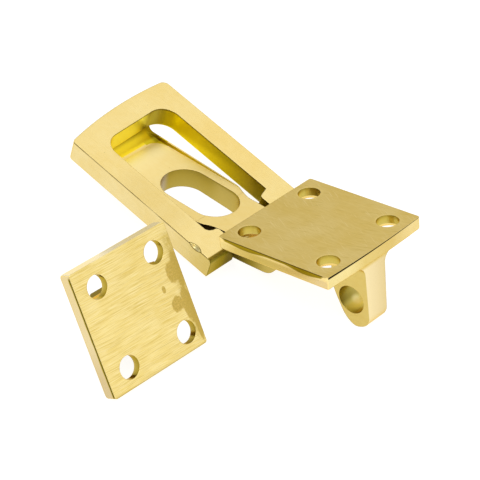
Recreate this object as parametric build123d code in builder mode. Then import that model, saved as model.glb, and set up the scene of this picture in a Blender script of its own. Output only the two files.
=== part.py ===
from build123d import *
import math
import os

os.makedirs("parts", exist_ok=True)

# Surface latch of cast brass: a square plate with a padlock staple, a
# folding lever with a slot for the staple, a bail frame on the lever, and a
# loose keeper plate with a hook for the bail. The latch lies open with the
# fixing side of its plate up; the keeper leans on its hook beside it.
# All lengths in millimetres. The part's origin is the middle of the
# underside of the whole set, +Z up.

# ---------------------------------------------------------------- dimensions
shift_x = 6.737               # moves the set so that its box is centred
shift_y = 20.790

# base plate
plate_side = 30.0
plate_thick = 3.15
plate_bow = 0.6               # outward bow of the staple-side edge
plate_corner_r = 0.5
plate_skew = 0.4              # extra length of the plate at its far corner
plate_soft_r = 0.7            # rounding of the front edges
plate_tilt = 13.93            # tilt of the resting plate against the floor
plate_lift = 12.714           # height of the hinge-side edge of the fixing face
screw_r = 2.5
screw_sink_r = 3.5
screw_dx = 21.744             # screw spacing along the latch
screw_dy = 19.56              # screw spacing across the latch

# hinge of the lever, in the plate's frame (along the latch, height)
hinge_v = 4.05
hinge_z = -7.65
hinge_pin_r = 1.5
hinge_pin_half = 6.4
lug_r = 3.9
lug_half = 3.0
running = 0.05                # radial clearance of a turning pin

# staple
staple_half_root = 3.24
staple_half_tip = 2.80
staple_flare = 2.4
staple_hole_v = 25.41
staple_hole_z = -13.05
staple_hole_r = 3.3

# pivot of the bail, in the plate's frame
pivot_v = -7.575
pivot_z = -6.909
pivot_pin_r = 0.90
pivot_pin_half = 15.84

# lever
knuckle_r = 4.2
neck_half = 6.495
fork_half = 3.3
lever_half_near = 8.1
lever_half_far = 8.25
lever_half_left = 8.20        # body at the nearer, later shoulder
lever_tip_x = -44.8
slot_near_x = -8.53
slot_far_x = -28.55
slot_half = 5.64
slot_shift = 0.10             # the slot lies a little off the middle
scoop_half = 7.85

# bail frame
bail_rise = 10.12             # its slope against the floor
bail_half = 15.84
bail_low = -2.85
bail_high = 2.67
bail_near = -4.71
bail_far_left = 38.5            # the far edge is bowed and a little skew
bail_far_mid = 40.9
bail_far_right = 40.7
window_half = 10.43
window_left = 10.20
window_far_left = 34.4
window_far_right = 35.4
window_corner_r = 4.2
boss_half_gap = 7.53
boss_end = 2.1
boss_end_left = 1.3           # this boss is shorter and runs into its arm in a curve
boss_run_left = 1.4
boss_r = 0.85
window_soft_r = 0.9           # rounding of the window's lower edges

# keeper plate
keeper_w = 26.19
keeper_h = 27.34
keeper_thick = 3.85
keeper_corner_r = 0.6
keeper_soft_r = 1.3
keeper_lean = 56.3            # angle of the face's normal from vertical
keeper_yaw = 1.58
keeper_corner = (12.32, -57.43, 1.635)   # lower near corner of the visible face
keeper_holes = [(5.91, 4.37), (5.46, 22.36), (22.06, 4.27), (21.21, 22.62)]   # hand-drilled, a little uneven
keeper_sink_r = 4.3
hook_shift = 1.275            # middle of the hook, from the middle of the plate
hook_half_root = 9.3
hook_half_arm = 6.4
hook_half_tip = 4.9
hook_depth = 13.6             # reach from the fixing face
hook_mouth = 10.05            # inner face of the lip, from the fixing face
hook_shoulder = 6.9           # end of the hook's flat top, from the fixing face
hook_root_low = 13.64
hook_root_high = 19.64
hook_lip_high = 12.4          # where the outer slope meets the lip
hook_tip = 6.19

# --------------------------------------------------------------------- frames
ct, st = math.cos(math.radians(plate_tilt)), math.sin(math.radians(plate_tilt))
cb, sb = math.cos(math.radians(bail_rise)), math.sin(math.radians(bail_rise))
ck, sk = math.cos(math.radians(keeper_lean)), math.sin(math.radians(keeper_lean))
cy, sy = math.cos(math.radians(keeper_yaw)), math.sin(math.radians(keeper_yaw))


def world(v, z):
    """Point of the plate's frame, in the middle plane of the latch."""
    return (shift_x + ct * v - st * z, shift_y, plate_lift + st * v + ct * z)


# side view of the plate: x along the latch, y towards the fixing side
plate_side_plane = Plane(origin=world(0, 0), x_dir=(ct, 0, st), z_dir=(0, -1, 0))
plate_back = Plane(origin=world(plate_side / 2, 0), x_dir=(ct, 0, st), z_dir=(-st, 0, ct))
plate_front = Plane(origin=world(plate_side / 2, -plate_thick), x_dir=(ct, 0, st), z_dir=(st, 0, -ct))
# end view of the plate: x across the latch, y towards the fixing side
plate_end = Plane(origin=world(0, 0), x_dir=(0, 1, 0), z_dir=(ct, 0, st))

# side view and plan of the lever, along the floor
lever_side = Plane(origin=(shift_x, shift_y, 0), x_dir=(1, 0, 0), z_dir=(0, -1, 0))
lever_plan = Plane(origin=(shift_x, shift_y, 0), x_dir=(1, 0, 0), z_dir=(0, 0, 1))
hinge_w = world(hinge_v, hinge_z)
pivot_w = world(pivot_v, pivot_z)
hx, hz = hinge_w[0] - shift_x, hinge_w[2]
px, pz = pivot_w[0] - shift_x, pivot_w[2]

# plan of the bail: x outwards from its pivot, z up through its thickness
bail_plan = Plane(origin=pivot_w, x_dir=(-cb, 0, sb), z_dir=(sb, 0, cb))
bail_low_plan = bail_plan.offset(bail_low)
bail_side = Plane(origin=pivot_w, x_dir=(-cb, 0, sb), z_dir=(0, 1, 0))

# keeper: x across, y up the plate, z out of the fixing face
keeper_origin = (keeper_corner[0] + shift_x, keeper_corner[1] + shift_y, keeper_corner[2])
keeper_back = Plane(origin=keeper_origin, x_dir=(sy, cy, 0), z_dir=(sk * cy, -sk * sy, ck))
keeper_mid = Plane(
    origin=keeper_back.from_local_coords((keeper_w / 2, 0, 0)),
    x_dir=keeper_back.y_dir,
    z_dir=keeper_back.x_dir,
)
hook_plan = Plane(
    origin=keeper_back.from_local_coords((keeper_w / 2, 0, 0)),
    x_dir=keeper_back.x_dir,
    z_dir=keeper_back.y_dir,
)
keeper_front = Plane(
    origin=keeper_back.from_local_coords((keeper_w / 2, keeper_h / 2, -keeper_thick)),
    x_dir=keeper_back.x_dir,
    z_dir=-keeper_back.z_dir,
)
keeper_fix = Plane(
    origin=keeper_back.from_local_coords((keeper_w / 2, keeper_h / 2, 0)),
    x_dir=keeper_back.x_dir,
    z_dir=keeper_back.z_dir,
)

# ----------------------------------------------------------------- base plate
# staple: side outline crossed with its end outline
with BuildPart() as staple:
    with BuildSketch(plate_side_plane):
        with BuildLine():
            a = Line((18.6, -2.2), (18.6, -plate_thick))
            b = RadiusArc(a @ 1, (20.7, -plate_thick - 2.1), 2.1)
            c = Line(b @ 1, (20.76, -10.6))
            d = Spline(
                c @ 1,
                (21.96, -14.55),
                (23.25, -17.30),
                (24.60, -18.75),
                (25.92, -19.42),
                (27.60, -19.16),
                (29.10, -18.30),
                (29.90, -16.9),
                (30.0, -15.0),
                tangents=((0.06, -1.0), (0.0, 1.0)),
            )
            e = Line(d @ 1, (30.0, -2.2))
            Line(e @ 1, a @ 0)
        make_face()
    extrude(amount=staple_half_root + staple_flare, both=True)
    with BuildSketch(plate_end):
        with BuildLine():
            a = Line((0, -1.0), (staple_half_root + staple_flare, -1.0))
            b = Line(a @ 1, (staple_half_root + staple_flare, -plate_thick))
            c = RadiusArc(b @ 1, (staple_half_root, -plate_thick - staple_flare), -staple_flare)
            d = Line(c @ 1, (staple_half_tip, -22.0))
            e = Line(d @ 1, (0, -22.0))
            mirror(about=Plane.YZ)
        make_face()
    extrude(amount=60, both=True, mode=Mode.INTERSECT)

with BuildPart() as base_plate:
    with BuildSketch(plate_back) as outline:
        with BuildLine():
            a = Line((-plate_side / 2, -plate_side / 2), (plate_side / 2, -plate_side / 2))
            b = ThreePointArc(a @ 1, (plate_side / 2 + plate_bow, 0), (plate_side / 2 + plate_skew, plate_side / 2))
            c = Line(b @ 1, (-plate_side / 2, plate_side / 2))
            Line(c @ 1, a @ 0)
        make_face()
        fillet(outline.vertices(), plate_corner_r)
    extrude(amount=-plate_thick)
    front_face = base_plate.faces().sort_by(Axis((0, 0, 0), (st, 0, -ct)))[-1]
    fillet(front_face.edges(), plate_soft_r)
    # screw holes, countersunk on the front
    with BuildSketch(plate_back):
        with GridLocations(screw_dx, screw_dy, 2, 2):
            Circle(screw_r)
    extrude(amount=-plate_thick, mode=Mode.SUBTRACT)
    with BuildSketch(plate_front):
        with GridLocations(screw_dx, screw_dy, 2, 2):
            Circle(screw_sink_r)
    extrude(amount=-(screw_sink_r - screw_r) / math.tan(math.radians(41)), taper=41, mode=Mode.SUBTRACT)
    # hinge lug
    with BuildSketch(plate_side_plane):
        with BuildLine():
            a = Line((hinge_v - lug_r, hinge_z), (hinge_v - lug_r, -2.2))
            b = Line(a @ 1, (hinge_v + lug_r, -2.2))
            c = Line(b @ 1, (hinge_v + lug_r, hinge_z))
            ThreePointArc(c @ 1, (hinge_v, hinge_z - lug_r), a @ 0)
        make_face()
    extrude(amount=lug_half, both=True)
    add(staple.part)
    # pin hole of the hinge and padlock hole of the staple
    with BuildSketch(plate_side_plane):
        with Locations((hinge_v, hinge_z)):
            Circle(hinge_pin_r)
        with Locations((staple_hole_v, staple_hole_z)):
            Circle(staple_hole_r)
    extrude(amount=12, both=True, mode=Mode.SUBTRACT)

base_plate.part.label = "base_plate"
export_step(base_plate.part, "parts/base_plate.step")

# ----------------------------------------------------------------- hinge pin
with BuildPart() as hinge_pin:
    with BuildSketch(plate_side_plane):
        with Locations((hinge_v, hinge_z)):
            Circle(hinge_pin_r)
    extrude(amount=hinge_pin_half, both=True)
    ends = hinge_pin.faces().filter_by(GeomType.PLANE)
    chamfer(ends.edges(), 0.2)

hinge_pin.part.label = "hinge_pin"
export_step(hinge_pin.part, "parts/hinge_pin.step")

# ----------------------------------------------------------------------- lever
# scoop in the lever's face: shallow at the shoulders, deeper at the tip
with BuildPart() as scoop:
    with BuildSketch(lever_side):
        with BuildLine():
            a = Line((-12.0, 5.62), (-38.4, 4.50))
            b = TangentArc(a @ 1, (-42.6, 7.4), tangent=a % 1)
            c = Line(b @ 1, (-42.6, 9.0))
            d = Line(c @ 1, (-12.0, 9.0))
            Line(d @ 1, a @ 0)
        make_face()
    extrude(amount=scoop_half, both=True)
    with BuildSketch(lever_plan) as scoop_outline:
        with Locations((-17.3, 0)):
            Rectangle(50.6, 2 * scoop_half)
        fillet(scoop_outline.vertices().group_by(Axis.X)[0], 3.6)
    extrude(amount=20, both=True, mode=Mode.INTERSECT)

with BuildPart() as lever:
    with BuildSketch(lever_side):
        with BuildLine():
            foot = Line((-43.0, 0), (-12.3, 0))
            belly = Spline(
                foot @ 1,
                (-2.1, 0.72),
                (hx + knuckle_r * math.cos(math.radians(-80)), hz + knuckle_r * math.sin(math.radians(-80))),
                tangents=((1, 0), (0.985, 0.174)),
            )
            round_end = ThreePointArc(
                belly @ 1,
                (hx + knuckle_r * math.cos(math.radians(25)), hz + knuckle_r * math.sin(math.radians(25))),
                (hx + knuckle_r * math.cos(math.radians(140)), hz + knuckle_r * math.sin(math.radians(140))),
            )
            nape = Spline(
                round_end @ 1,
                (-2.6, 6.25),
                tangents=((-0.643, -0.766), (-1.0, -0.02)),
            )
            neck = Spline(
                nape @ 1,
                (-5.69, 6.15),
                (-13.67, 5.66),
                tangents=((-1.0, -0.02), (-1.0, -0.004)),
            )
            face = Line(neck @ 1, (-40.8, 5.55))
            lip = Spline(
                face @ 1,
                (-42.4, 6.75),
                (-43.6, 7.6),
                (lever_tip_x, 6.1),
                tangents=((-1.0, 0.0), (0.0, -1.0)),
            )
            nose = Line(lip @ 1, (lever_tip_x, 1.7))
            ThreePointArc(nose @ 1, (-44.2, 0.5), foot @ 0)
        make_face()
    extrude(amount=lever_half_far + 0.5, both=True)
    # outline seen from above: neck, concave shoulders, body
    with BuildSketch(lever_plan) as plan:
        with BuildLine():
            a = Line((14.0, neck_half), (-9.2, neck_half))
            b = Spline(
                a @ 1,
                (-14.6, lever_half_near),
                tangents=((-1, 0.05), (-1, 0.12)),
            )
            c = Line(b @ 1, (-45.5, lever_half_far))
            d = Line(c @ 1, (-45.5, -lever_half_far))
            e = Line(d @ 1, (-11.9, -lever_half_left))
            f = Spline(
                e @ 1,
                (-10.3, -7.82),
                (-8.8, -7.15),
                (-6.8, -6.70),
                (-4.6, -neck_half),
                tangents=((1, 0.06), (1, 0.03)),
            )
            g = Line(f @ 1, (14.0, -neck_half))
            Line(g @ 1, a @ 0)
        make_face()
        fillet(plan.vertices().sort_by(Axis.X)[:2], 2.4)
    extrude(amount=20, both=True, mode=Mode.INTERSECT)
    add(scoop.part, mode=Mode.SUBTRACT)
    # slot for the staple, gap of the fork
    with BuildSketch(lever_plan):
        with Locations(((slot_near_x + slot_far_x) / 2, slot_shift)):
            SlotOverall(slot_near_x - slot_far_x, 2 * slot_half)
    extrude(amount=20, mode=Mode.SUBTRACT)
    with BuildSketch(lever_plan):
        with Locations((hx + 5.0, 0)):
            Rectangle(2 * 5.0 + 2 * (lug_r + 0.75), 2 * fork_half)
    extrude(amount=20, mode=Mode.SUBTRACT)
    # pin holes
    with BuildSketch(lever_side):
        with Locations((hx, hz)):
            Circle(hinge_pin_r + running)
        with Locations((px, pz)):
            Circle(pivot_pin_r + running)
    extrude(amount=20, both=True, mode=Mode.SUBTRACT)

lever.part.label = "lever"
export_step(lever.part, "parts/lever.step")

# ------------------------------------------------------------------ bail frame
with BuildPart() as bail_frame:
    with BuildSketch(bail_low_plan) as ring:
        with BuildLine():
            a = Line((bail_near, bail_half), (bail_far_left, bail_half))
            b = ThreePointArc(a @ 1, (bail_far_mid, 0), (bail_far_right, -bail_half))
            c = Line(b @ 1, (bail_near, -bail_half))
            Line(c @ 1, a @ 0)
        make_face()
        fillet(ring.vertices().group_by(Axis.X)[-1], 1.6)
        fillet(ring.vertices().sort_by_distance((bail_far_left, bail_half))[0], 1.0)
    extrude(amount=bail_high - bail_low)
    # lower edges are softened, upper ones stay crisp
    under = bail_frame.faces().sort_by(Axis((0, 0, 0), (sb, 0, cb)))[0]
    fillet(under.edges(), 0.7)
    near_top = bail_frame.faces().sort_by(Axis((0, 0, 0), (sb, 0, cb)))[-1].edges().sort_by(Axis((0, 0, 0), (cb, 0, -sb)))[-1]
    fillet(near_top, 1.3)
    with BuildSketch(bail_low_plan) as opening:
        with BuildLine():
            a = Line((bail_near - 2, boss_half_gap), (boss_end_left, boss_half_gap))
            b = Line(a @ 1, (boss_end_left, window_left - boss_run_left))
            run = Line(b @ 1, (boss_end_left + 0.45, window_left - 0.5))
            lead = Line(run @ 1, (boss_end_left + 1.2, window_left))
            c = Line(lead @ 1, (window_far_left, window_left))
            d = Line(c @ 1, (window_far_right, -window_half))
            e = Line(d @ 1, (boss_end + 0.9, -window_half))
            f = Line(e @ 1, (boss_end, -boss_half_gap))
            g = Line(f @ 1, (bail_near - 2, -boss_half_gap))
            Line(g @ 1, a @ 0)
        make_face()
        fillet(opening.vertices().sort_by(Axis.X)[-2:], window_corner_r)
        fillet(opening.vertices().sort_by_distance((boss_end_left, boss_half_gap))[0], boss_r)
        fillet(opening.vertices().sort_by_distance((boss_end_left + 0.45, window_left - 0.5))[0], 0.9)
        fillet(opening.vertices().sort_by_distance((boss_end, -boss_half_gap))[0], boss_r)
    extrude(amount=bail_high - bail_low, mode=Mode.SUBTRACT)
    # lower edges of the window along the arms
    arms = bail_frame.edges().filter_by(
        lambda e: abs(bail_plan.to_local_coords(e.center()).Z - bail_low) < 0.02
        and (
            abs(bail_plan.to_local_coords(e.center()).Y + window_half) < 0.05
            or abs(bail_plan.to_local_coords(e.center()).Y - window_left) < 0.05
        )
    )
    fillet(arms, window_soft_r)
    with BuildSketch(bail_side):
        Circle(pivot_pin_r)
    extrude(amount=40, both=True, mode=Mode.SUBTRACT)
    # small scallop on one upper edge, over the pin
    with Locations(bail_plan.from_local_coords((0.1, bail_half + 1.9, bail_high + 1.9))):
        Sphere(3.15, mode=Mode.SUBTRACT)

bail_frame.part.label = "bail_frame"
export_step(bail_frame.part, "parts/bail_frame.step")

# -------------------------------------------------------------------- bail pin
with BuildPart() as bail_pin:
    with BuildSketch(bail_side):
        Circle(pivot_pin_r)
    extrude(amount=pivot_pin_half, both=True)

bail_pin.part.label = "bail_pin"
export_step(bail_pin.part, "parts/bail_pin.step")

# ---------------------------------------------------------------- keeper plate
with BuildPart() as hook:
    # side outline: x up the plate, y out of the fixing face
    with BuildSketch(keeper_mid) as hook_outline:
        with BuildLine():
            Polyline(
                (hook_root_low, -2.4),
                (hook_root_low, -hook_mouth),
                (hook_tip, -hook_mouth - 0.5),
                (hook_tip, -hook_depth),
                (hook_lip_high, -hook_depth),
                (hook_root_high, -hook_shoulder),
                (hook_root_high, -2.4),
                close=True,
            )
        make_face()
        fillet(hook_outline.vertices().sort_by_distance((hook_tip, -hook_depth))[0], 2.0)
        fillet(hook_outline.vertices().sort_by_distance((hook_tip, -hook_mouth))[0], 1.1)
        fillet(hook_outline.vertices().sort_by_distance((hook_root_low, -hook_mouth))[0], 1.2)
        fillet(hook_outline.vertices().sort_by_distance((hook_lip_high, -hook_depth))[0], 3.0)
        fillet(hook_outline.vertices().sort_by_distance((hook_root_high, -hook_shoulder))[0], 0.6)
    extrude(amount=hook_half_root + 1, both=True)
    # tapered outline seen along the plate: x across, y out of the fixing face
    with BuildSketch(hook_plan) as hook_taper:
        with BuildLine():
            Polyline(
                (hook_shift - hook_half_root, 2.0),
                (hook_shift - hook_half_root, keeper_thick),
                (hook_shift - hook_half_arm, hook_shoulder),
                (hook_shift - hook_half_tip, hook_depth + 1),
                (hook_shift + hook_half_tip, hook_depth + 1),
                (hook_shift + hook_half_arm, hook_shoulder),
                (hook_shift + hook_half_root, keeper_thick),
                (hook_shift + hook_half_root, 2.0),
                close=True,
            )
        make_face()
    extrude(amount=60, both=True, mode=Mode.INTERSECT)

with BuildPart() as keeper_plate:
    with BuildSketch(keeper_fix) as keeper_outline:
        Rectangle(keeper_w, keeper_h)
        fillet(keeper_outline.vertices(), keeper_corner_r)
    extrude(amount=-keeper_thick)
    hidden = keeper_plate.faces().sort_by(Axis((0, 0, 0), (-sk * cy, sk * sy, -ck)))[-1]
    fillet(hidden.edges(), keeper_soft_r)
    add(hook.part)
    with BuildSketch(keeper_fix):
        with Locations([(x - keeper_w / 2, y - keeper_h / 2) for x, y in keeper_holes]):
            Circle(screw_r)
    extrude(amount=-keeper_thick, mode=Mode.SUBTRACT)
    # countersinks for the screw heads, on the hook's side
    with BuildSketch(keeper_front):
        with Locations([(x - keeper_w / 2, keeper_h / 2 - y) for x, y in keeper_holes]):
            Circle(keeper_sink_r)
    extrude(amount=-(keeper_sink_r - screw_r) / math.tan(math.radians(41)), taper=41, mode=Mode.SUBTRACT)

keeper_plate.part.label = "keeper_plate"
export_step(keeper_plate.part, "parts/keeper_plate.step")
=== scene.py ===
import math

import bpy
from mathutils import Matrix, Vector

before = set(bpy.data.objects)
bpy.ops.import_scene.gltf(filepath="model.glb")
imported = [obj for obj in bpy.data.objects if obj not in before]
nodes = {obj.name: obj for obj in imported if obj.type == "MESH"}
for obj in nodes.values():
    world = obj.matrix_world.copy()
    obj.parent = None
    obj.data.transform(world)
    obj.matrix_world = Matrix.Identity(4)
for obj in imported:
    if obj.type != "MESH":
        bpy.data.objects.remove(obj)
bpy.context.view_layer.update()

scene = bpy.context.scene

# ------------------------------------------------------------------ frames (mm)
SHIFT = Vector((6.737, 20.790, 0.0))


def unit(v):
    return Vector(v).normalized()


PLATE_TILT = math.radians(13.93)
PLATE_O = SHIFT + Vector((0, 0, 12.714))
PLATE_X = Vector((math.cos(PLATE_TILT), 0, math.sin(PLATE_TILT)))
PLATE_Y = Vector((0, 1, 0))
PLATE_Z = Vector((-math.sin(PLATE_TILT), 0, math.cos(PLATE_TILT)))
PLATE_HOLES = [(15 + sx * 10.872, sy * 9.78) for sx in (-1, 1) for sy in (-1, 1)]

LEAN, YAW = math.radians(56.3), math.radians(1.58)
KEEP_O = Vector((12.32, -57.43, 1.635)) + SHIFT
KEEP_X = Vector((math.sin(YAW), math.cos(YAW), 0))
KEEP_Z = Vector((math.sin(LEAN) * math.cos(YAW), -math.sin(LEAN) * math.sin(YAW), math.cos(LEAN)))
KEEP_Y = KEEP_Z.cross(KEEP_X)
KEEP_HOLES = [(5.91, 4.37), (5.46, 22.36), (22.06, 4.27), (21.21, 22.62)]

RISE = math.radians(10.12)
BAIL_O = Vector((1.048, 20.790, 4.1846))
BAIL_X = Vector((-math.cos(RISE), 0, math.sin(RISE)))
BAIL_Y = Vector((0, -1, 0))
BAIL_Z = Vector((math.sin(RISE), 0, math.cos(RISE)))

LEVER_O = Vector(SHIFT)


# ------------------------------------------------------------------ node helpers
class Graph:
    """Short names for making one material's nodes."""

    def __init__(self, name):
        self.mat = bpy.data.materials.new(name)
        self.mat.use_nodes = True
        self.nt = self.mat.node_tree
        self.nt.nodes.clear()
        self.out = self.nt.nodes.new("ShaderNodeOutputMaterial")
        self.bsdf = self.nt.nodes.new("ShaderNodeBsdfPrincipled")
        self.nt.links.new(self.bsdf.outputs[0], self.out.inputs[0])
        self.coord = self.nt.nodes.new("ShaderNodeTexCoord")
        self.normal = None

    def put(self, socket, value):
        if isinstance(value, bpy.types.NodeSocket):
            self.nt.links.new(value, socket)
        elif value is not None:
            socket.default_value = value

    def math(self, op, a, b=None, c=None, clamp=False):
        n = self.nt.nodes.new("ShaderNodeMath")
        n.operation = op
        n.use_clamp = clamp
        self.put(n.inputs[0], a)
        self.put(n.inputs[1], b)
        self.put(n.inputs[2], c)
        return n.outputs[0]

    def add(self, a, b):
        return self.math("ADD", a, b)

    def sub(self, a, b):
        return self.math("SUBTRACT", a, b)

    def mul(self, *values):
        out = values[0]
        for v in values[1:]:
            out = self.math("MULTIPLY", out, v)
        return out

    def top(self, *values):
        out = values[0]
        for v in values[1:]:
            out = self.math("MAXIMUM", out, v)
        return out

    def size(self, a):
        return self.math("ABSOLUTE", a)

    def vec(self, op, a, b=None, scale=None):
        n = self.nt.nodes.new("ShaderNodeVectorMath")
        n.operation = op
        self.put(n.inputs[0], a)
        self.put(n.inputs[1], b)
        if scale is not None:
            self.put(n.inputs["Scale"], scale)
        return n.outputs["Value"] if op in ("DOT_PRODUCT", "LENGTH", "DISTANCE") else n.outputs["Vector"]

    def xyz(self, x, y, z):
        n = self.nt.nodes.new("ShaderNodeCombineXYZ")
        self.put(n.inputs[0], x)
        self.put(n.inputs[1], y)
        self.put(n.inputs[2], z)
        return n.outputs[0]

    def local(self, o, x, y, z):
        """Millimetres along a piece's own axes, from the object's coordinates."""
        p = self.vec("SCALE", self.coord.outputs["Object"], scale=1000.0)
        p = self.vec("SUBTRACT", p, tuple(o))
        return [self.vec("DOT_PRODUCT", p, tuple(a)) for a in (x, y, z)]

    def facing(self, axis):
        """How far the surface faces along an axis of the object, -1 to 1."""
        if self.normal is None:
            geo = self.nt.nodes.new("ShaderNodeNewGeometry")
            n = self.nt.nodes.new("ShaderNodeVectorTransform")
            n.vector_type, n.convert_from, n.convert_to = "NORMAL", "WORLD", "OBJECT"
            self.nt.links.new(geo.outputs["Normal"], n.inputs[0])
            self.normal = n.outputs[0]
        return self.vec("DOT_PRODUCT", self.normal, tuple(axis))

    def leaned(self, amount, axis):
        """The surface's normal, leaned towards an axis of the object."""
        n = self.nt.nodes.new("ShaderNodeVectorTransform")
        n.vector_type, n.convert_from, n.convert_to = "VECTOR", "OBJECT", "WORLD"
        n.inputs[0].default_value = tuple(axis)
        out = self.vec("ADD", self.eased(), self.vec("SCALE", n.outputs[0], scale=amount))
        return self.vec("NORMALIZE", out)

    def eased(self, radius=0.00028):
        """The surface's normal, with every sharp edge eased a little."""
        n = self.nt.nodes.new("ShaderNodeBevel")
        n.samples = 6
        self.put(n.inputs["Radius"], radius)
        return n.outputs["Normal"]

    def from_axis(self, a, b, ca, cb):
        """Distance from a line, given the two coordinates across it."""
        return self.vec("LENGTH", self.xyz(self.sub(a, ca), self.sub(b, cb), 0.0))

    def noise(self, vector, scale=1.0, detail=2.0, rough=0.5, distort=0.0):
        n = self.nt.nodes.new("ShaderNodeTexNoise")
        self.put(n.inputs["Vector"], vector)
        n.inputs["Scale"].default_value = scale
        n.inputs["Detail"].default_value = detail
        n.inputs["Roughness"].default_value = rough
        n.inputs["Distortion"].default_value = distort
        return n.outputs["Fac"]

    def ramp(self, value, lo, hi, out_lo=0.0, out_hi=1.0, smooth=True):
        n = self.nt.nodes.new("ShaderNodeMapRange")
        n.interpolation_type = "SMOOTHSTEP" if smooth else "LINEAR"
        n.clamp = True
        self.put(n.inputs["Value"], value)
        n.inputs["From Min"].default_value = lo
        n.inputs["From Max"].default_value = hi
        n.inputs["To Min"].default_value = out_lo
        n.inputs["To Max"].default_value = out_hi
        return n.outputs["Result"]

    def between(self, value, lo, hi, soft):
        return self.mul(self.ramp(value, lo - soft, lo + soft), self.ramp(value, hi - soft, hi + soft, 1.0, 0.0))

    def shades(self, value, lo, hi, colours):
        """Colours along a value, as (place, colour) pairs between lo and hi."""
        n = self.nt.nodes.new("ShaderNodeValToRGB")
        self.put(n.inputs[0], self.ramp(value, lo, hi, smooth=False))
        el = n.color_ramp.elements
        while len(el) < len(colours):
            el.new(0.5)
        for e, (at, c) in zip(el, colours):
            e.position = (at - lo) / (hi - lo)
            e.color = c
        return n.outputs[0]

    def mix(self, fac, a, b):
        n = self.nt.nodes.new("ShaderNodeMix")
        n.data_type = "RGBA"
        self.put(n.inputs["Factor"], fac)
        self.put(n.inputs[6], a)
        self.put(n.inputs[7], b)
        return n.outputs[2]

    def tint(self, fac, a, b):
        """Multiplies a colour by another."""
        n = self.nt.nodes.new("ShaderNodeMix")
        n.data_type = "RGBA"
        n.blend_type = "MULTIPLY"
        self.put(n.inputs["Factor"], fac)
        self.put(n.inputs[6], a)
        self.put(n.inputs[7], b)
        return n.outputs[2]

    def blend(self, fac, a, b):
        n = self.nt.nodes.new("ShaderNodeMix")
        n.data_type = "FLOAT"
        self.put(n.inputs["Factor"], fac)
        self.put(n.inputs[2], a)
        self.put(n.inputs[3], b)
        return n.outputs[0]

    def bump(self, height, strength, distance, normal=None):
        n = self.nt.nodes.new("ShaderNodeBump")
        self.put(n.inputs["Normal"], normal)
        n.inputs["Strength"].default_value = strength
        n.inputs["Distance"].default_value = distance
        self.put(n.inputs["Height"], height)
        return n.outputs[0]


def rgb(r, g, b):
    return (r, g, b, 1.0)


BRASS = rgb(0.890, 0.680, 0.250)
BRASS_DEEP = rgb(0.80, 0.590, 0.180)
BRASS_PALE = rgb(0.925, 0.740, 0.320)
BRASS_DARK = rgb(0.30, 0.205, 0.035)
GOLD = rgb(0.78, 0.560, 0.030)
OLIVE = rgb(0.36, 0.250, 0.020)
OLIVE_DARK = rgb(0.13, 0.085, 0.006)
NEAR_BLACK = rgb(0.022, 0.014, 0.004)


def polished(g, u, v, w, along=0.1, across=2.6):
    """Cast brass buffed to a satin shine: soft mottling, fine polishing hairlines, rare pits.
    Returns (colour, roughness, height)."""
    p = g.xyz(u, v, w)
    cloud = g.noise(p, 0.09, 3, 0.55)
    mottle = g.noise(p, 0.65, 2, 0.5, 0.4)
    hair = g.noise(g.xyz(g.mul(u, along), g.mul(v, across), g.mul(w, across)), 1.0, 3, 0.6)
    pits = g.ramp(g.noise(p, 1.9, 1, 0.4), 0.765, 0.81)
    tone = g.add(g.mul(g.ramp(cloud, 0.3, 0.7), 0.65), g.mul(g.ramp(mottle, 0.3, 0.7), 0.35))
    colour = g.mix(tone, BRASS, BRASS_PALE)
    colour = g.mix(g.ramp(hair, 0.52, 0.72, 0.0, 0.20), colour, BRASS_DEEP)
    colour = g.mix(g.mul(pits, 0.4), colour, BRASS_DARK)
    rough = g.add(g.ramp(cloud, 0.3, 0.7, 0.15, 0.21), g.ramp(hair, 0.35, 0.7, 0.0, 0.08))
    height = g.add(g.mul(hair, 0.5), g.mul(mottle, 0.9))
    height = g.sub(height, g.mul(pits, 0.8))
    return colour, rough, height


def finish_material(g, colour, rough, height, strength=0.10, distance=0.00006, normal=None):
    b = g.bsdf
    b.inputs["Metallic"].default_value = 1.0
    b.inputs["Coat Weight"].default_value = 0.08
    b.inputs["Coat Roughness"].default_value = 0.12
    b.inputs["Coat IOR"].default_value = 1.45
    b.inputs["Specular Tint"].default_value = (0.90, 0.74, 0.40, 1.0)
    g.put(b.inputs["Base Color"], colour)
    g.put(b.inputs["Roughness"], rough)
    g.put(b.inputs["Normal"], g.bump(height, strength, distance, normal or g.eased()))
    return g.mat


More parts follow.
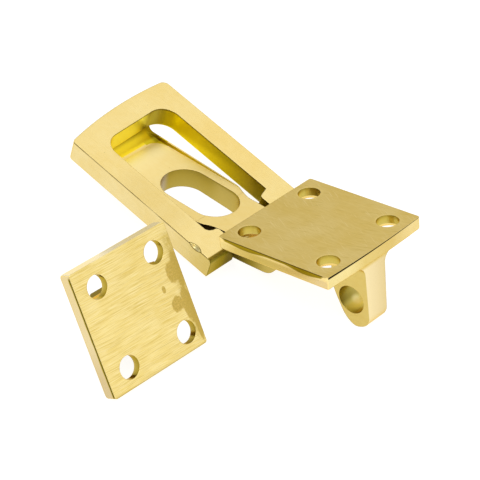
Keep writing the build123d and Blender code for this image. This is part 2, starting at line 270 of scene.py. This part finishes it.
# ---------------------------------------------------------------- brass materials
def make_bail():
    g = Graph("bail_polished_brass")
    u, v, w = g.local(BAIL_O, BAIL_X, BAIL_Y, BAIL_Z)
    colour, rough, height = polished(g, u, v, w)
    upright = g.ramp(g.size(g.facing(BAIL_Z)), 0.35, 0.75, 1.0, 0.0)
    # the arms' upper faces differ a little in tone
    above = g.ramp(g.facing(BAIL_Z), 0.85, 0.97)
    colour = g.tint(g.mul(above, g.ramp(v, -11.5, -9.5, 1.0, 0.0), g.between(u, 6.0, 27.0, 5.0)), colour, rgb(0.99, 0.955, 0.84))
    colour = g.tint(g.mul(above, g.ramp(v, 9.5, 11.5), g.between(u, 6.0, 24.0, 4.0)), colour, rgb(0.93, 0.92, 0.89))
    # window walls: painted shade in deep gold, darker in the far corner and towards the hinge, with a painted bright
    # reflection on the far wall
    inside = g.mul(upright, g.ramp(g.size(v), 10.55, 11.0, 1.0, 0.0), g.ramp(u, 35.5, 36.0, 1.0, 0.0))
    along = g.shades(u, -5, 36, [
        (-5, rgb(0.22, 0.170, 0.020)), (6, rgb(0.27, 0.225, 0.026)), (14, rgb(0.52, 0.460, 0.014)), (24, rgb(0.90, 0.840, 0.030)),
        (30.5, rgb(0.86, 0.790, 0.012)), (33.5, rgb(0.58, 0.520, 0.014)), (36, rgb(0.40, 0.340, 0.030))])
    far_wall = g.ramp(g.facing(-BAIL_X), 0.55, 0.92)
    far_tone = g.shades(v, -10.5, 10.5, [
        (-10.5, rgb(0.40, 0.320, 0.030)), (-5.4, rgb(0.42, 0.330, 0.030)), (-2.7, rgb(1.0, 0.880, 0.085)), (-1.5, rgb(1.0, 0.930, 0.120)), (10.5, rgb(1.0, 0.940, 0.150))])
    wall = g.mix(g.mul(far_wall, g.ramp(u, 28.0, 30.0)), along, far_tone)
    # painted light on the walls facing one way, painted shade along the walls' upper edge
    wall = g.mix(g.ramp(g.facing(-BAIL_Y), 0.2, 0.8), wall, rgb(0.72, 0.540, 0.130))
    wall = g.mix(g.ramp(w, 2.08, 2.55, 0.0, 0.75), wall, OLIVE_DARK)
    # painted shadow: a near-black line along the foot of the far wall
    wall = g.mix(g.mul(far_wall, g.ramp(w, -2.75, -2.30, 0.85, 0.0)), wall, rgb(0.06, 0.036, 0.002))
    colour = g.mix(inside, colour, wall)
    rough = g.blend(inside, rough, 0.36)
    # near end: painted shade, darkest under the plate
    end = g.mul(upright, g.ramp(g.facing(-BAIL_X), 0.55, 0.85), g.ramp(u, -3.6, -3.0, 1.0, 0.0))
    colour = g.mix(end, colour, g.shades(v, -16, 16, [(-16, OLIVE_DARK), (6, rgb(0.035, 0.026, 0.003)), (9.5, rgb(0.10, 0.076, 0.006)), (13, rgb(0.27, 0.205, 0.022)), (16, rgb(0.44, 0.345, 0.075))]))
    # painted shade on the rounded top edge of the near end, which is also made a little rougher
    turn = g.mul(g.between(g.facing(-BAIL_X), 0.25, 0.97, 0.06), g.between(g.facing(BAIL_Z), 0.25, 0.97, 0.06), g.ramp(u, -3.2, -3.0, 1.0, 0.0))
    colour = g.mix(g.mul(turn, 0.9), colour, rgb(0.25, 0.215, 0.014))
    rough = g.blend(turn, rough, 0.45)
    # long sides: painted shade, a little darker all along and deeper towards the hinge, with a thin painted dark line
    # under the top edge
    side = g.mul(upright, g.ramp(g.size(v), 15.3, 15.6))
    colour = g.tint(side, colour, rgb(0.855, 0.880, 1.0))
    colour = g.tint(g.mul(side, g.ramp(u, -5.0, 9.0, 1.0, 0.0)), colour, rgb(0.79, 0.75, 0.50))
    line = g.mul(side, g.ramp(w, 2.30, 2.52), g.ramp(g.noise(g.xyz(g.mul(u, 0.12), v, 0.0), 1.0, 1), 0.30, 0.60, 0.35, 0.95))
    colour = g.mix(line, colour, OLIVE_DARK)
    # the pin's ends are dressed flush, so no edge shows round them
    eased = g.eased(g.ramp(g.from_axis(u, w, 0.0, 0.0), 1.25, 1.55, 0.0, 0.00028))
    # scallop over the pin: painted dark rim and a painted highlight in the hollow
    hollow = g.vec("LENGTH", g.xyz(g.sub(u, 0.1), g.sub(v, 17.74), g.sub(w, 4.57)))
    colour = g.mix(g.mul(g.ramp(hollow, 3.13, 3.17), g.ramp(hollow, 3.24, 3.36, 1.0, 0.0)), colour, OLIVE_DARK)
    colour = g.mix(g.ramp(hollow, 3.13, 3.17, 1.0, 0.0), colour, g.shades(w, 2.0, 2.7, [(2.0, rgb(0.30, 0.220, 0.012)), (2.25, rgb(0.92, 0.820, 0.42)), (2.7, rgb(0.80, 0.680, 0.25))]))
    return finish_material(g, colour, rough, height, normal=eased)


def make_lever():
    g = Graph("lever_polished_brass")
    u, v, w = g.local(LEVER_O, (1, 0, 0), (0, 1, 0), (0, 0, 1))
    colour, rough, height = polished(g, u, v, w)
    up = g.facing((0, 0, 1))
    upright = g.ramp(g.size(up), 0.35, 0.75, 1.0, 0.0)
    # slot walls: made rougher and in painted shade, darker towards the top, with a paler grey end
    slot = g.mul(upright, g.ramp(g.size(v), 5.9, 6.1, 1.0, 0.0), g.between(u, -28.75, -8.3, 0.1))
    slot_shade = g.shades(w, 0.0, 5.6, [(0.0, rgb(0.46, 0.350, 0.070)), (3.5, rgb(0.40, 0.290, 0.040)), (5.6, rgb(0.30, 0.215, 0.025))])
    slot_shade = g.mix(g.mul(g.ramp(u, -27.4, -26.4, 1.0, 0.0), g.ramp(v, -1.5, 1.0, 1.0, 0.0)), slot_shade, rgb(0.46, 0.400, 0.300))
    slot_shade = g.mix(g.mul(g.between(u, -19.0, -10.0, 2.5), g.ramp(w, 4.6, 5.4, 0.6, 0.0)), slot_shade, rgb(0.56, 0.430, 0.120))
    colour = g.mix(slot, colour, slot_shade)
    # ramp and rim of the scoop: painted shade and painted reflection in deep gold, olive in the corner, darkest high
    # up under the bail's bar
    sloped = g.ramp(up, 0.965, 0.992, 1.0, 0.0)
    scoop = g.mul(sloped, g.ramp(u, -38.6, -37.8, 1.0, 0.0), g.ramp(w, 3.6, 4.0), g.ramp(g.facing((1, 0, 0)), 0.02, 0.12))
    across = g.shades(v, -8, 8, [(-8, rgb(0.94, 0.680, 0.022)), (1, rgb(0.96, 0.720, 0.024)), (4.6, rgb(0.96, 0.730, 0.030)), (6.6, rgb(0.80, 0.620, 0.018)), (8, rgb(0.34, 0.260, 0.008))])
    across = g.mix(g.ramp(w, 5.4, 6.6, 0.0, 0.80), across, rgb(0.27, 0.190, 0.008))
    colour = g.mix(scoop, colour, across)
    rough = g.blend(g.top(slot, scoop), rough, 0.38)
    # painted shade on the lever's upright rim, darkest at the far end under the bar
    rim = g.mul(upright, g.between(g.size(v), 7.6, 7.99, 0.06), g.ramp(u, -12.5, -13.5), g.ramp(w, 3.9, 4.2), g.ramp(g.facing((-1, 0, 0)), 0.15, 0.45, 1.0, 0.0))
    colour = g.mix(rim, colour, g.shades(u, -40, -12, [(-40, rgb(0.26, 0.205, 0.006)), (-36, rgb(0.46, 0.370, 0.006)), (-31, rgb(0.88, 0.720, 0.010)), (-12, rgb(0.62, 0.500, 0.020))]))
    # flanks of the neck between the arms of the bail: painted shade, black on the near side in the gap by the bail,
    # olive on the far side
    flank = g.mul(upright, g.ramp(u, -14.5, -12.0), g.between(g.size(v), 6.2, 8.4, 0.08))
    near = g.shades(u, -16, 14, [
        (-16, NEAR_BLACK), (-4.0, NEAR_BLACK), (-1.0, rgb(0.07, 0.050, 0.004)), (3.0, rgb(0.26, 0.190, 0.020)), (7.0, rgb(0.50, 0.380, 0.090)), (14, rgb(0.62, 0.470, 0.140))])
    far = g.shades(u, -16, 14, [(-16, rgb(0.62, 0.490, 0.060)), (-6.0, rgb(0.50, 0.390, 0.040)), (-1.0, rgb(0.16, 0.120, 0.010)), (14, rgb(0.50, 0.380, 0.090))])
    colour = g.mix(flank, colour, g.mix(g.ramp(v, -1.0, 1.0), near, far))
    # the face is satin and very slightly crowned towards the hinge and one side
    face = g.mul(g.ramp(up, 0.90, 0.98), g.ramp(w, 3.5, 4.0))
    rough = g.blend(face, rough, 0.34)
    crown = g.leaned(g.mul(face, g.ramp(u, -38.0, -22.0, 0.32, 0.15)), unit((0.61, -0.79, 0.0)))
    # painted shade: the face a little darker towards the hinge
    colour = g.tint(g.mul(face, g.ramp(u, -34.0, -20.0)), colour, rgb(0.93, 0.92, 0.88))
    # painted highlight on the face next to the scoop
    colour = g.mix(g.mul(g.ramp(up, 0.990, 0.998), face, g.ramp(u, -38.8, -38.2), g.ramp(u, -37.0, -31.0, 0.75, 0.0)), colour, rgb(1.0, 0.850, 0.430))
    # rounded far corner of the scoop, painted as shade on the flat face, with painted olive shade in its depth
    bend = g.from_axis(u, v, -36.0, 4.5)
    bend = g.mul(face, g.ramp(bend, 3.0, 3.3), g.ramp(u, -36.1, -35.7, 1.0, 0.0), g.ramp(v, 4.2, 4.6))
    colour = g.mix(bend, colour, rgb(0.70, 0.560, 0.018))
    depth = g.mul(g.ramp(u, -38.8, -38.0, 1.0, 0.0), g.ramp(v, 6.2, 7.6), g.ramp(g.facing((-1, 0, 0)), 0.3, 0.6, 1.0, 0.0), g.ramp(g.facing((0, 1, 0)), 0.5, 0.8, 1.0, 0.0), g.ramp(w, 3.4, 4.0), g.ramp(g.top(up, g.facing((1, 0, 0))), 0.08, 0.25))
    colour = g.mix(g.mul(depth, 0.9), colour, rgb(0.34, 0.280, 0.008))
    rough = g.blend(g.top(depth, bend), rough, 0.42)
    # knuckle under the plate: painted shade on its downward faces
    low = g.mul(g.ramp(u, 2.0, 5.0), g.ramp(up, -0.9, -0.2, 1.0, 0.0))
    colour = g.tint(low, colour, rgb(0.62, 0.58, 0.36))
    return finish_material(g, colour, rough, height, normal=crown)


def make_pin():
    g = Graph("pin_turned_brass")
    u, v, w = g.local(LEVER_O, (0, 1, 0), (1, 0, 0), (0, 0, 1))
    colour, rough, height = polished(g, u, v, w, along=3.0, across=0.3)
    return finish_material(g, colour, rough, height)


def make_plate():
    g = Graph("plate_brushed_brass")
    u, v, w = g.local(PLATE_O, PLATE_X, PLATE_Y, PLATE_Z)
    colour, rough, height = polished(g, u, v, w)
    flat = g.facing(PLATE_Z)
    upright = g.ramp(g.size(flat), 0.35, 0.75, 1.0, 0.0)
    depth = g.mul(w, -1.0)
    # near and far sides: an uneven painted dark reflection band below the fixing face, with a painted dark line just
    # under its edge
    side = g.ramp(g.size(g.facing(PLATE_Y)), 0.75, 0.92)
    side = g.mul(side, g.ramp(depth, 3.1, 3.3, 1.0, 0.0))
    ends = g.between(u, 1.2, 28.7, 0.7)
    deep = g.add(0.72, g.add(g.mul(g.between(u, 4.0, 11.0, 3.0), 0.50), g.mul(g.between(u, 20.6, 26.8, 2.6), 0.60)))
    deep = g.mul(deep, ends)
    band = g.mul(side, g.ramp(g.sub(depth, deep), -0.22, 0.06, 1.0, 0.0), ends)
    colour = g.mix(band, colour, rgb(0.31, 0.215, 0.006))
    colour = g.mix(g.mul(side, ends, g.ramp(depth, 0.12, 0.34, 1.0, 0.0)), colour, rgb(0.11, 0.070, 0.004))
    # painted shade along the sides, darker in the middle, lighter and cooler at the ends
    side_shade = g.shades(u, 0, 30, [(0, rgb(0.93, 0.96, 1.0)), (4.5, rgb(0.74, 0.71, 0.52)), (10, rgb(0.65, 0.62, 0.38)), (15, rgb(0.66, 0.63, 0.41)), (19, rgb(0.67, 0.61, 0.42)), (23.3, rgb(0.75, 0.71, 0.61)), (27.5, rgb(0.79, 0.77, 0.89)), (30, rgb(0.82, 0.80, 0.90))])
    colour = g.tint(g.mul(side, g.ramp(depth, 0.5, 1.5)), colour, side_shade)
    # painted shade on the lower part of the sides
    cheek = g.mul(g.ramp(g.size(g.facing(PLATE_Y)), 0.75, 0.92), g.ramp(depth, 3.2, 3.5))
    colour = g.tint(cheek, colour, rgb(0.725, 0.71, 0.54))
    # staple-side edge: a dark line that thins towards the far corner
    edge = g.mul(g.ramp(g.facing(PLATE_X), 0.80, 0.93), g.ramp(u, 29.0, 29.3))
    width = g.ramp(v, -15.0, 15.0, 0.52, 0.14, smooth=False)
    colour = g.mix(g.mul(edge, g.ramp(g.sub(depth, width), -0.12, 0.05, 1.0, 0.0)), colour, NEAR_BLACK)
    # staple: outer face with a painted shade gradient; padlock hole made rougher and in painted shade, with a painted
    # lighter lower wall and a painted highlight
    # painted light and shade across the staple-side edge face, paler at both ends
    colour = g.tint(edge, colour, g.shades(v, -15, 15, [(-15, rgb(0.88, 0.93, 1.0)), (-9, rgb(0.90, 0.94, 1.0)), (-3.5, rgb(0.78, 0.76, 0.64)), (5, rgb(0.74, 0.71, 0.61)), (12, rgb(0.87, 0.88, 0.97)), (15, rgb(0.88, 0.89, 0.99))]))
    below = g.ramp(depth, 3.3, 4.2)
    outer = g.mul(below, g.ramp(g.facing(PLATE_X), 0.70, 0.92))
    colour = g.mix(outer, colour, g.shades(v, -3.4, 3.4, [(-3.4, rgb(0.85, 0.715, 0.410)), (0.0, rgb(0.78, 0.640, 0.355)), (3.4, rgb(0.70, 0.560, 0.275))]))
    hole = g.from_axis(u, w, 25.41, -13.05)
    bore = g.mul(g.ramp(hole, 3.36, 3.42, 1.0, 0.0), g.ramp(g.size(g.facing(PLATE_Y)), 0.4, 0.7, 1.0, 0.0))
    colour = g.mix(bore, colour, g.shades(v, -3.4, 3.4, [(-3.4, rgb(0.30, 0.235, 0.030)), (0.0, rgb(0.36, 0.285, 0.050)), (3.4, rgb(0.50, 0.400, 0.110))]))
    colour = g.mix(g.mul(bore, g.ramp(w, -16.0, -14.6, 0.9, 0.0)), colour, rgb(0.74, 0.620, 0.150))
    shine = g.vec("LENGTH", g.xyz(g.sub(u, 23.58), g.sub(v, 0.91), g.add(w, 15.79)))
    colour = g.mix(g.mul(bore, g.ramp(shine, 0.4, 1.7, 0.85, 0.0)), colour, rgb(0.80, 0.680, 0.290))
    # screw holes: walls in painted shade, darkest near the face
    near_hole = None
    for cu, cv in PLATE_HOLES:
        d = g.from_axis(u, v, cu, cv)
        near_hole = d if near_hole is None else g.math("MINIMUM", near_hole, d)
    drilled = g.mul(g.ramp(near_hole, 2.55, 2.62, 1.0, 0.0), upright)
    colour = g.mix(drilled, colour, g.shades(depth, 0.0, 3.2, [(0.0, rgb(0.43, 0.330, 0.050)), (0.9, rgb(0.60, 0.475, 0.090)), (3.2, rgb(0.60, 0.480, 0.130))]))
    rough = g.blend(g.top(drilled, bore), rough, 0.34)
    # ground fixing face: fine brushing along the latch, a few stray scratches
    face = g.mul(g.ramp(flat, 0.90, 0.97), g.ramp(depth, 0.15, 0.5, 1.0, 0.0))
    p = g.xyz(u, v, w)
    wob = g.mul(g.sub(g.noise(p, 0.07, 1), 0.5), 3.0)
    fine = g.noise(g.xyz(g.mul(u, 0.30), g.mul(g.add(v, wob), 5.5), w), 1.0, 3, 0.6)
    grain = g.noise(g.xyz(g.mul(u, 0.16), g.mul(g.add(v, wob), 1.7), w), 1.0, 3, 0.6)
    slant = g.add(u, g.mul(v, 0.45))
    cross = g.noise(g.xyz(g.mul(g.sub(v, g.mul(u, 0.35)), 2.6), g.mul(slant, 0.13), w), 1.0, 2, 0.5)
    cloud = g.noise(p, 0.10, 3, 0.55)
    ground = g.mix(g.ramp(cloud, 0.32, 0.68), rgb(0.735, 0.550, 0.170), rgb(0.775, 0.605, 0.235))
    ground = g.mix(g.ramp(fine, 0.42, 0.70, 0.0, 0.45), ground, rgb(0.64, 0.470, 0.120))
    ground = g.mix(g.ramp(grain, 0.50, 0.72, 0.0, 0.50), ground, rgb(0.83, 0.650, 0.260))
    ground = g.mix(g.ramp(cross, 0.60, 0.72, 0.0, 0.55), ground, rgb(0.58, 0.430, 0.100))
    stray = g.noise(g.xyz(g.mul(g.add(v, g.mul(u, 0.55)), 3.4), g.mul(g.sub(u, g.mul(v, 0.55)), 0.16), g.add(w, 4.0)), 1.0, 1, 0.5)
    ground = g.mix(g.ramp(stray, 0.64, 0.72, 0.0, 0.60), ground, rgb(0.86, 0.700, 0.330))
    # painted highlight in a ring round the screw holes, broken by the brushing
    ground = g.mix(g.mul(g.ramp(near_hole, 2.6, 3.3, 0.45, 0.0), g.ramp(fine, 0.3, 0.6)), ground, rgb(0.86, 0.680, 0.260))
    colour = g.mix(face, colour, ground)
    rough = g.blend(face, rough, g.ramp(fine, 0.3, 0.7, 0.32, 0.44))
    lines = g.add(g.mul(fine, 1.6), g.add(g.mul(grain, 1.2), g.mul(cross, 0.8)))
    height = g.blend(face, height, lines)
    return finish_material(g, colour, rough, height, 0.14)


# worn matt patches: centres and half sizes across and up the keeper's face, mm
PATCHES = [
    (24.2, 17.0, 1.9, 2.5),
    (25.4, 17.2, 1.2, 4.2),
    (22.5, 10.4, 1.65, 1.75),
    (24.9, 9.4, 1.35, 4.0),
    (20.4, 14.6, 0.5, 0.9),
    (25.7, 5.2, 0.7, 4.4),
]


def make_keeper():
    g = Graph("keeper_brushed_brass")
    u, v, w = g.local(KEEP_O, KEEP_X, KEEP_Y, KEEP_Z)
    colour, rough, height = polished(g, u, v, w)
    flat = g.facing(KEEP_Z)
    upright = g.ramp(g.size(flat), 0.35, 0.75, 1.0, 0.0)
    depth = g.mul(w, -1.0)
    on_plate = g.ramp(depth, 3.7, 3.85, 1.0, 0.0)
    # flanks in painted light and shade, with a painted dark line under the face
    flank = g.mul(g.ramp(g.size(g.facing(KEEP_X)), 0.70, 0.92), on_plate)
    pale = g.shades(v, 0.0, 27.3, [(0.0, rgb(0.64, 0.515, 0.290)), (4.5, rgb(0.64, 0.510, 0.280)), (12.0, rgb(0.75, 0.625, 0.360)), (27.3, rgb(0.73, 0.590, 0.310))])
    colour = g.mix(flank, colour, pale)
    wave = g.noise(g.xyz(g.mul(v, 0.22), 0.0, 0.0), 1.0, 2)
    thin = g.add(0.34, g.mul(wave, 0.56))
    colour = g.mix(g.mul(flank, g.ramp(g.sub(depth, thin), -0.16, 0.10, 1.0, 0.0), g.ramp(v, 26.9, 26.2)), colour, rgb(0.34, 0.255, 0.012))
    colour = g.mix(g.mul(flank, g.ramp(depth, 0.26, 0.44, 1.0, 0.0), g.ramp(v, 26.9, 26.2)), colour, rgb(0.10, 0.070, 0.004))
    # crest: painted highlight, near white
    crest = g.mul(g.ramp(g.facing(KEEP_Y), 0.70, 0.92), on_plate)
    colour = g.mix(crest, colour, g.shades(u, 0, 26, [(0, rgb(0.94, 0.880, 0.700)), (10, rgb(0.94, 0.880, 0.700)), (18, rgb(0.93, 0.810, 0.520)), (26, rgb(0.93, 0.830, 0.560))]))
    # painted shade: a dark line along the back edge of the crest
    back_edge = g.mul(g.ramp(depth, 2.70, 2.90), on_plate, g.ramp(g.facing(KEEP_Y), 0.20, 0.30), g.ramp(u, 9.0, 13.0))
    colour = g.mix(back_edge, colour, rgb(0.30, 0.245, 0.018))
    crest_lean = g.leaned(g.mul(crest, g.ramp(u, 4.0, 14.0, 0.0, 0.42)), (0.0, 0.0, 1.0))
    # hook: as cast, dull, with painted shade on its upper faces, darkest towards the low end
    hook = g.ramp(depth, 3.88, 4.1)
    colour = g.mix(hook, colour, rgb(0.52, 0.390, 0.105))
    colour = g.mix(g.mul(hook, g.ramp(g.facing(KEEP_Y), 0.45, 0.75)), colour, g.shades(u, 3.0, 24.0, [(3.0, rgb(0.14, 0.100, 0.002)), (10.0, rgb(0.16, 0.115, 0.003)), (16.0, rgb(0.34, 0.265, 0.012)), (24.0, rgb(0.40, 0.310, 0.020))]))
    rough = g.blend(hook, rough, 0.40)
    # screw holes: walls in painted shade, darkest near the face
    near_hole = None
    for cu, cv in KEEP_HOLES:
        d = g.from_axis(u, v, cu, cv)
        near_hole = d if near_hole is None else g.math("MINIMUM", near_hole, d)
    drilled = g.mul(g.ramp(near_hole, 2.55, 2.62, 1.0, 0.0), upright)
    colour = g.mix(drilled, colour, g.shades(depth, 0.0, 3.0, [(0.0, rgb(0.36, 0.255, 0.020)), (1.3, rgb(0.46, 0.340, 0.060)), (3.0, rgb(0.70, 0.560, 0.240))]))
    # ground fixing face: uneven brushing across the plate
    face = g.mul(g.ramp(flat, 0.90, 0.97), g.ramp(depth, 0.15, 0.5, 1.0, 0.0))
    p = g.xyz(u, v, w)
    wob = g.mul(g.sub(g.noise(p, 0.05, 1), 0.5), 1.6)
    vv = g.add(g.add(v, wob), g.mul(u, 0.03))
    broad = g.noise(g.xyz(g.mul(u, 0.08), g.mul(vv, 0.55), w), 1.0, 3, 0.6)
    coarse = g.noise(g.xyz(g.mul(u, 0.12), g.mul(vv, 4.2), w), 1.0, 3, 0.65)
    fine = g.noise(g.xyz(g.mul(u, 0.18), g.mul(vv, 9.5), w), 1.0, 2, 0.62)
    gouge = g.noise(g.xyz(g.mul(u, 0.11), g.mul(vv, 6.0), g.add(w, 7.0)), 1.0, 1, 0.5)
    cloud = g.noise(p, 0.15, 3, 0.6)
    ground = g.mix(g.ramp(broad, 0.32, 0.68), rgb(0.855, 0.650, 0.195), rgb(0.925, 0.735, 0.265))
    ground = g.mix(g.ramp(cloud, 0.40, 0.68, 0.0, 0.55), ground, rgb(0.94, 0.770, 0.330))
    ground = g.mix(g.ramp(coarse, 0.45, 0.62, 0.0, 0.66), ground, rgb(0.68, 0.490, 0.105))
    ground = g.mix(g.ramp(fine, 0.47, 0.61, 0.0, 0.70), ground, rgb(0.98, 0.825, 0.410))
    ground = g.mix(g.ramp(gouge, 0.66, 0.76, 0.0, 0.55), ground, rgb(0.52, 0.370, 0.070))
    # worn matt patches towards one edge
    ragged = g.mul(g.sub(g.noise(p, 0.85, 3, 0.65), 0.5), 0.8)
    patch = None
    for cu, cv, ru, rv in PATCHES:
        d = g.vec("LENGTH", g.xyz(g.math("DIVIDE", g.sub(u, cu), ru), g.math("DIVIDE", g.sub(v, cv), rv), 0.0))
        m = g.ramp(g.add(d, ragged), 0.84, 1.06, 1.0, 0.0)
        patch = m if patch is None else g.top(patch, m)
    speck = g.noise(p, 2.6, 3, 0.7)
    matt = g.mix(g.ramp(speck, 0.36, 0.66), rgb(0.50, 0.355, 0.065), rgb(0.66, 0.480, 0.110))
    ground = g.mix(g.mul(patch, 0.85), ground, matt)
    hatch = g.noise(g.xyz(g.mul(g.add(u, g.mul(v, 0.5)), 2.2), g.mul(g.sub(v, g.mul(u, 0.5)), 0.9), w), 1.0, 3, 0.7)
    strip = g.mul(g.ramp(g.add(u, g.mul(ragged, 2.0)), 23.2, 25.6), g.between(v, 1.5, 25.0, 1.5), g.ramp(hatch, 0.34, 0.62, 0.35, 0.85))
    ground = g.mix(strip, ground, rgb(0.56, 0.410, 0.085))
    ground = g.mix(g.ramp(v, 0.10, 0.45, 0.6, 0.0), ground, rgb(0.50, 0.360, 0.070))
    colour = g.mix(face, colour, ground)
    face_rough = g.blend(patch, g.ramp(fine, 0.3, 0.7, 0.28, 0.40), 0.58)
    rough = g.blend(face, rough, face_rough)
    lines = g.add(g.mul(fine, 1.6), g.mul(coarse, 2.0))
    lines = g.sub(lines, g.mul(patch, speck, 2.0))
    height = g.blend(face, height, lines)
    return finish_material(g, colour, rough, height, 0.16, normal=crest_lean)


for name, make in (("bail_frame", make_bail), ("lever", make_lever), ("hinge_pin", make_pin), ("base_plate", make_plate), ("keeper_plate", make_keeper)):
    m = make()
    nodes[name].data.materials.clear()
    nodes[name].data.materials.append(m)
    if name == "bail_frame":
        # the ends of the pin are dressed flush with the bail and share its finish
        nodes["bail_pin"].data.materials.clear()
        nodes["bail_pin"].data.materials.append(m)

# ------------------------------------------------------------------ floor
mesh = bpy.data.meshes.new("floor")
S = 3.0
mesh.from_pydata([(-S, -S, -0.00002), (S, -S, -0.00002), (S, S, -0.00002), (-S, S, -0.00002)], [], [(0, 1, 2, 3)])
floor = bpy.data.objects.new("floor", mesh)
scene.collection.objects.link(floor)
fm = bpy.data.materials.new("floor_white")
fm.use_nodes = True
fb = fm.node_tree.nodes["Principled BSDF"]
fb.inputs["Base Color"].default_value = (0.28, 0.28, 0.28, 1)
fb.inputs["Roughness"].default_value = 0.9
fb.inputs["Specular IOR Level"].default_value = 0.0
fb.inputs["Emission Color"].default_value = (1.0, 1.0, 1.0, 1)
fb.inputs["Emission Strength"].default_value = 0.86
mesh.materials.append(fm)

# ------------------------------------------------------------------ light
world = bpy.data.worlds.new("studio")
scene.world = world
world.use_nodes = True
wn = world.node_tree
wn.nodes.clear()
w_out = wn.nodes.new("ShaderNodeOutputWorld")
w_bg = wn.nodes.new("ShaderNodeBackground")
wn.links.new(w_bg.outputs[0], w_out.inputs[0])
w_tc = wn.nodes.new("ShaderNodeTexCoord")


def w_math(op, a, b=None):
    n = wn.nodes.new("ShaderNodeMath")
    n.operation = op
    for s, x in ((n.inputs[0], a), (n.inputs[1], b)):
        if isinstance(x, bpy.types.NodeSocket):
            wn.links.new(x, s)
        elif x is not None:
            s.default_value = x
    return n.outputs[0]


def w_toward(direction, inner, outer):
    """1 inside a cone of `inner` degrees about a direction, 0 outside `outer`."""
    n = wn.nodes.new("ShaderNodeVectorMath")
    n.operation = "DOT_PRODUCT"
    wn.links.new(w_tc.outputs["Generated"], n.inputs[0])
    n.inputs[1].default_value = tuple(unit(direction))
    m = wn.nodes.new("ShaderNodeMapRange")
    m.interpolation_type = "SMOOTHSTEP"
    m.inputs["From Min"].default_value = math.cos(math.radians(outer))
    m.inputs["From Max"].default_value = math.cos(math.radians(inner))
    wn.links.new(n.outputs["Value"], m.inputs["Value"])
    return m.outputs["Result"]


level = 1.02
for direction, inner, outer, gain in (
    ((0.10, -0.45, 0.88), 5, 38, 0.45),
    ((-0.85, 0.45, 0.10), 5, 38, -0.35),
    ((-0.45, -0.80, 0.25), 8, 45, -0.60),
    ((0.65, -0.74, 0.15), 6, 38, -0.50),
):
    level = w_math("ADD", level, w_math("MULTIPLY", w_toward(direction, inner, outer), gain))
wn.links.new(level, w_bg.inputs["Strength"])
w_bg.inputs["Color"].default_value = (1.0, 1.0, 1.0, 1)


def softbox(name, place, target, size, watts):
    d = bpy.data.lights.new(name, "AREA")
    d.shape = "RECTANGLE"
    d.size, d.size_y = size
    d.energy = watts
    o = bpy.data.objects.new(name, d)
    o.location = place
    o.rotation_mode = "QUATERNION"
    o.rotation_quaternion = (Vector(target) - Vector(place)).to_track_quat("-Z", "Y")
    scene.collection.objects.link(o)
    return o


softbox("key_softbox", (0.10, -0.42, 0.80), (0, 0, 0), (0.5, 0.5), 1.2)

# ------------------------------------------------------------------ camera
cam_data = bpy.data.cameras.new("camera")
cam_data.lens = 150.0
cam_data.sensor_width = 36.0
cam_data.clip_start, cam_data.clip_end = 0.01, 20.0
cam = bpy.data.objects.new("camera", cam_data)
right, up, back = (0.740076, 0.666078, 0.092891), (-0.482001, 0.429006, 0.763957), (0.469004, -0.610159, 0.638547)
m = Matrix((right, up, back)).transposed().to_4x4()
m.translation = Vector((0.208464, -0.249084, 0.282160))
cam.matrix_world = m
scene.collection.objects.link(cam)
scene.camera = cam

scene.view_settings.view_transform = "Standard"
scene.view_settings.look = "None"
